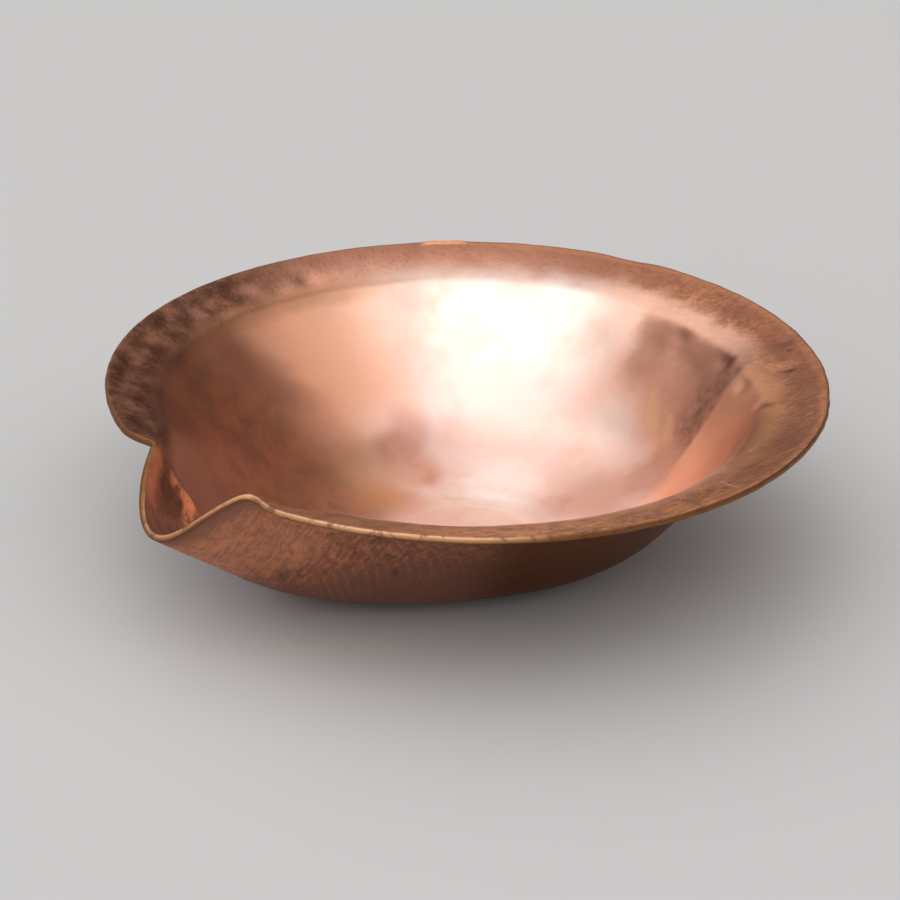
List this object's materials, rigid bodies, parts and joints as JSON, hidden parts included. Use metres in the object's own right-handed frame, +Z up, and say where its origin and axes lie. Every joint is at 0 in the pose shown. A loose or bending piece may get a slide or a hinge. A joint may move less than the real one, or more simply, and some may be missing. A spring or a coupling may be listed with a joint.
{
  "type": "offering bowl",
  "caption": "Shallow round sheet-copper offering bowl with an outward-turned flange rim, a flat standing base and a pinched pouring lip.",
  "frame": {"origin": "middle of the flat base underside, where the bowl stands", "axes": "+Z up out of the mouth, +X the way the pouring lip points"},
  "size_m": [0.0888, 0.0844, 0.0214],
  "materials": {
    "copper": "hand-raised sheet copper, polished inside, hammered and tarnished brown at the rim"
  },
  "bodies": {
    "root": {"bowl": "copper"}
  },
  "joints": []
}
